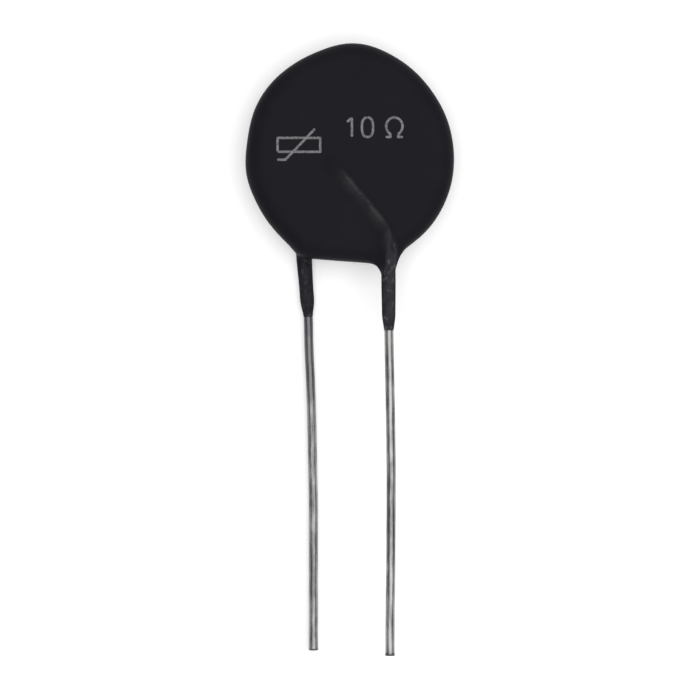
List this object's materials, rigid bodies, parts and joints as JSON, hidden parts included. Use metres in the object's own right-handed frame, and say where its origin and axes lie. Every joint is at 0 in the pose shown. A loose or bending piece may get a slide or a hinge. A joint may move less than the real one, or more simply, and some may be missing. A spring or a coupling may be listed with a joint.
{
  "type": "thermistor",
  "caption": "Power thermistor: a ceramic disc in a dipped black resin coat, with a ridge over each soldered wire and long straight leads",
  "frame": {"origin": "on the surface that the part lies on, under the middle of its bounding box", "axes": "+Z out of the printed front face of the disc, which is the top as it lies; +Y from the wire tips towards the crown of the disc; +X to the right seen from the front"},
  "size_m": [0.0226, 0.0664, 0.0056],
  "materials": {
    "black_coat": "satin",
    "oxide_ceramic": "matte",
    "tinned_wire": "satin",
    "solder": "satin"
  },
  "bodies": {
    "root": {"coating": "black_coat", "ceramic_disc": "oxide_ceramic", "front_lead": "tinned_wire", "back_lead": "tinned_wire", "front_solder": "solder", "back_solder": "solder"}
  },
  "joints": []
}
